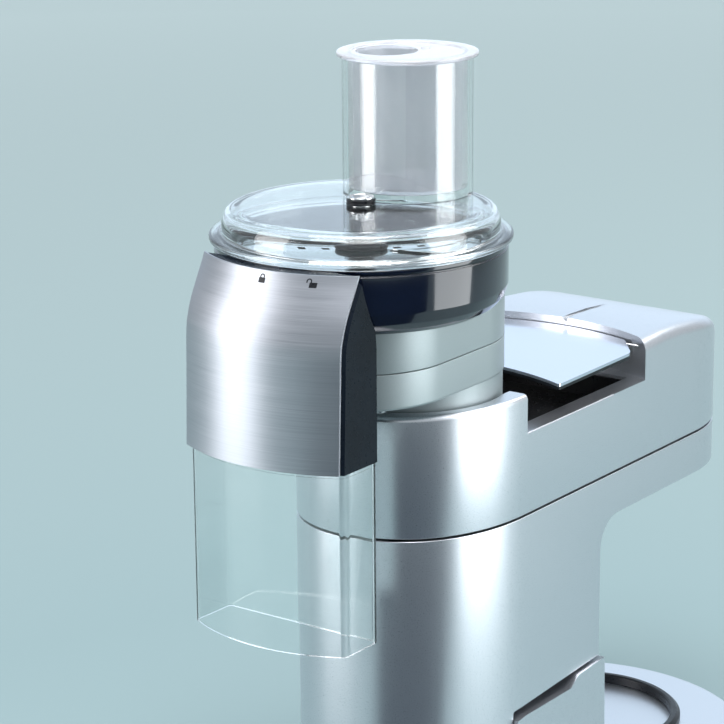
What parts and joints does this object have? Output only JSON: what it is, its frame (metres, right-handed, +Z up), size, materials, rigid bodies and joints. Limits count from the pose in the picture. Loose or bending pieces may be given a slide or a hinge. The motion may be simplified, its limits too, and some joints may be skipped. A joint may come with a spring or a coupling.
{
  "type": "food processor",
  "caption": "Slicing and grating food processor with feed tube, pusher, cutting disc, chute and clear outlet guard, driven from the top outlet of a tilting-head kitchen machine.",
  "frame": {"origin": "centre of the bounding box at floor level", "axes": "+Z up, +Y towards the machine's front, -Y towards the processor's chute, +X across"},
  "size_m": [0.24, 0.495, 0.5556],
  "materials": {
    "clear_plastic": "clear, glossy",
    "bowl_plastic": "glossy moulded",
    "chute_plastic": "satin moulded",
    "brushed_steel_cover": "horizontal brush",
    "silver_case": "satin silver paint on die-cast aluminium",
    "silver_plastic": "satin silver",
    "flap_silver": "satin mirror",
    "black_plastic": "fine moulded",
    "steel": "ground",
    "polished_steel": "polished",
    "gear_nylon": "moulded",
    "aluminium": "die-cast",
    "rotor_copper": "wound",
    "rubber": "matte",
    "board_green": "circuit board"
  },
  "bodies": {
    "base": {"pedestal": "silver_case", "bowl_seat": "black_plastic", "base_plate": "black_plastic", "rubber_foot_rear_left": "rubber", "rubber_foot_rear_right": "rubber", "rubber_foot_front_left": "rubber", "rubber_foot_front_right": "rubber", "speed_control": "black_plastic", "circuit_board": "board_green", "cord_gland": "rubber", "tilt_pin": "steel"},
    "head": {"head_cover": "silver_case", "head_lower_case": "silver_case", "outlet_well": "black_plastic", "flap_hinge_pin": "steel", "motor_stator": "steel", "motor_bracket": "steel", "drive_belt": "rubber", "gearbox_case": "aluminium"},
    "flap": {"outlet_flap": "flap_silver"},
    "slow_cover": {"slow_outlet_cover": "silver_plastic"},
    "motor": {"motor_shaft": "steel", "motor_rotor": "rotor_copper", "motor_fan": "black_plastic", "motor_pulley": "aluminium", "drive_dog": "steel"},
    "belt_wheel": {"gearbox_pulley": "aluminium"},
    "planetary": {"planet_carrier": "aluminium"},
    "tool": {"tool_socket": "steel"},
    "slow_drive": {"slow_outlet_drive": "steel"},
    "processor": {"base_upper_case": "silver_plastic", "base_lower_case": "silver_plastic", "case_screw_1": "steel", "case_screw_2": "steel", "case_screw_3": "steel", "bowl": "bowl_plastic", "spindle_seal": "rubber", "chute_housing": "chute_plastic", "steel_cover": "brushed_steel_cover", "outlet_guard": "clear_plastic"},
    "cutter": {"cutting_disc": "polished_steel", "disc_blade": "polished_steel", "disc_hub": "black_plastic", "drive_spindle": "steel", "disc_gear": "gear_nylon"},
    "pinion": {"pinion_gear": "steel", "pinion_shaft": "steel", "drive_coupler": "black_plastic"},
    "lid_centre": {"lid_bearing": "black_plastic", "bearing_cap": "polished_steel"},
    "lid": {"lid": "clear_plastic"},
    "pusher": {"pusher": "clear_plastic"},
    "knob": {"speed_knob": "black_plastic"},
    "lever": {"release_lever": "black_plastic"}
  },
  "joints": [
    {"name": "head_tilt", "type": "hinge", "parent": "base", "child": "head", "pos_m": [0, -0.115, 0.136], "axis": [1, 0, 0], "range_deg": [0, 40]},
    {"name": "outlet_flap_swing", "type": "hinge", "parent": "head", "child": "flap", "pos_m": [0, 0.095, 0.338], "axis": [-1, 0, 0], "range_deg": [0, 80]},
    {"name": "slow_cover_swing", "type": "hinge", "parent": "head", "child": "slow_cover", "pos_m": [0, 0.244, 0.311], "axis": [1, 0, 0], "range_deg": [0, 90]},
    {"name": "motor_spin", "type": "hinge", "parent": "head", "child": "motor", "pos_m": [0, -0.08, 0.2], "axis": [0, 0, 1], "continuous": true},
    {"name": "belt_wheel_spin", "type": "hinge", "parent": "head", "child": "belt_wheel", "pos_m": [0, 0.14, 0.245], "axis": [0, 0, 1], "continuous": true},
    {"name": "planetary_spin", "type": "hinge", "parent": "head", "child": "planetary", "pos_m": [0, 0.14, 0.22], "axis": [0, 0, 1], "continuous": true},
    {"name": "tool_spin", "type": "hinge", "parent": "planetary", "child": "tool", "pos_m": [0, 0.156, 0.2], "axis": [0, 0, 1], "continuous": true},
    {"name": "slow_drive_spin", "type": "hinge", "parent": "head", "child": "slow_drive", "pos_m": [0, 0.2, 0.285], "axis": [0, 1, 0], "continuous": true},
    {"name": "processor_lift", "type": "slide", "parent": "head", "child": "processor", "axis": [0, 0, 1], "range_m": [0, 0.06]},
    {"name": "disc_spin", "type": "hinge", "parent": "processor", "child": "cutter", "pos_m": [0, -0.13, 0.44], "axis": [0, 0, 1], "continuous": true},
    {"name": "pinion_spin", "type": "hinge", "parent": "processor", "child": "pinion", "pos_m": [0, -0.08, 0.37], "axis": [0, 0, 1], "continuous": true},
    {"name": "lid_lift", "type": "slide", "parent": "processor", "child": "lid_centre", "axis": [0, 0, 1], "range_m": [0, 0.06]},
    {"name": "lid_twist", "type": "hinge", "parent": "lid_centre", "child": "lid", "pos_m": [0, -0.13, 0.46], "axis": [0, 0, 1], "range_deg": [0, 20]},
    {"name": "pusher_lift", "type": "slide", "parent": "lid", "child": "pusher", "axis": [0, 0, 1], "range_m": [0, 0.085]},
    {"name": "speed_knob_turn", "type": "hinge", "parent": "base", "child": "knob", "pos_m": [-0.09, -0.035, 0.08], "axis": [1, 0, 0], "range_deg": [-30, 240]},
    {"name": "release_lever_press", "type": "hinge", "parent": "base", "child": "lever", "pos_m": [-0.083, 0.008, 0.06], "axis": [-1, 0, 0], "range_deg": [0, 25], "stiffness_Nm_per_rad": 0.03, "springref_deg": -17.19}
  ],
  "couplings": [
    {"joint": "pinion_spin", "follows": "disc_spin", "ratio": -4},
    {"joint": "motor_spin", "follows": "disc_spin", "ratio": -4},
    {"joint": "belt_wheel_spin", "follows": "disc_spin", "ratio": -1.4737},
    {"joint": "planetary_spin", "follows": "disc_spin", "ratio": -0.24561},
    {"joint": "tool_spin", "follows": "disc_spin", "ratio": 0.61403},
    {"joint": "slow_drive_spin", "follows": "disc_spin", "ratio": -0.73684}
  ]
}
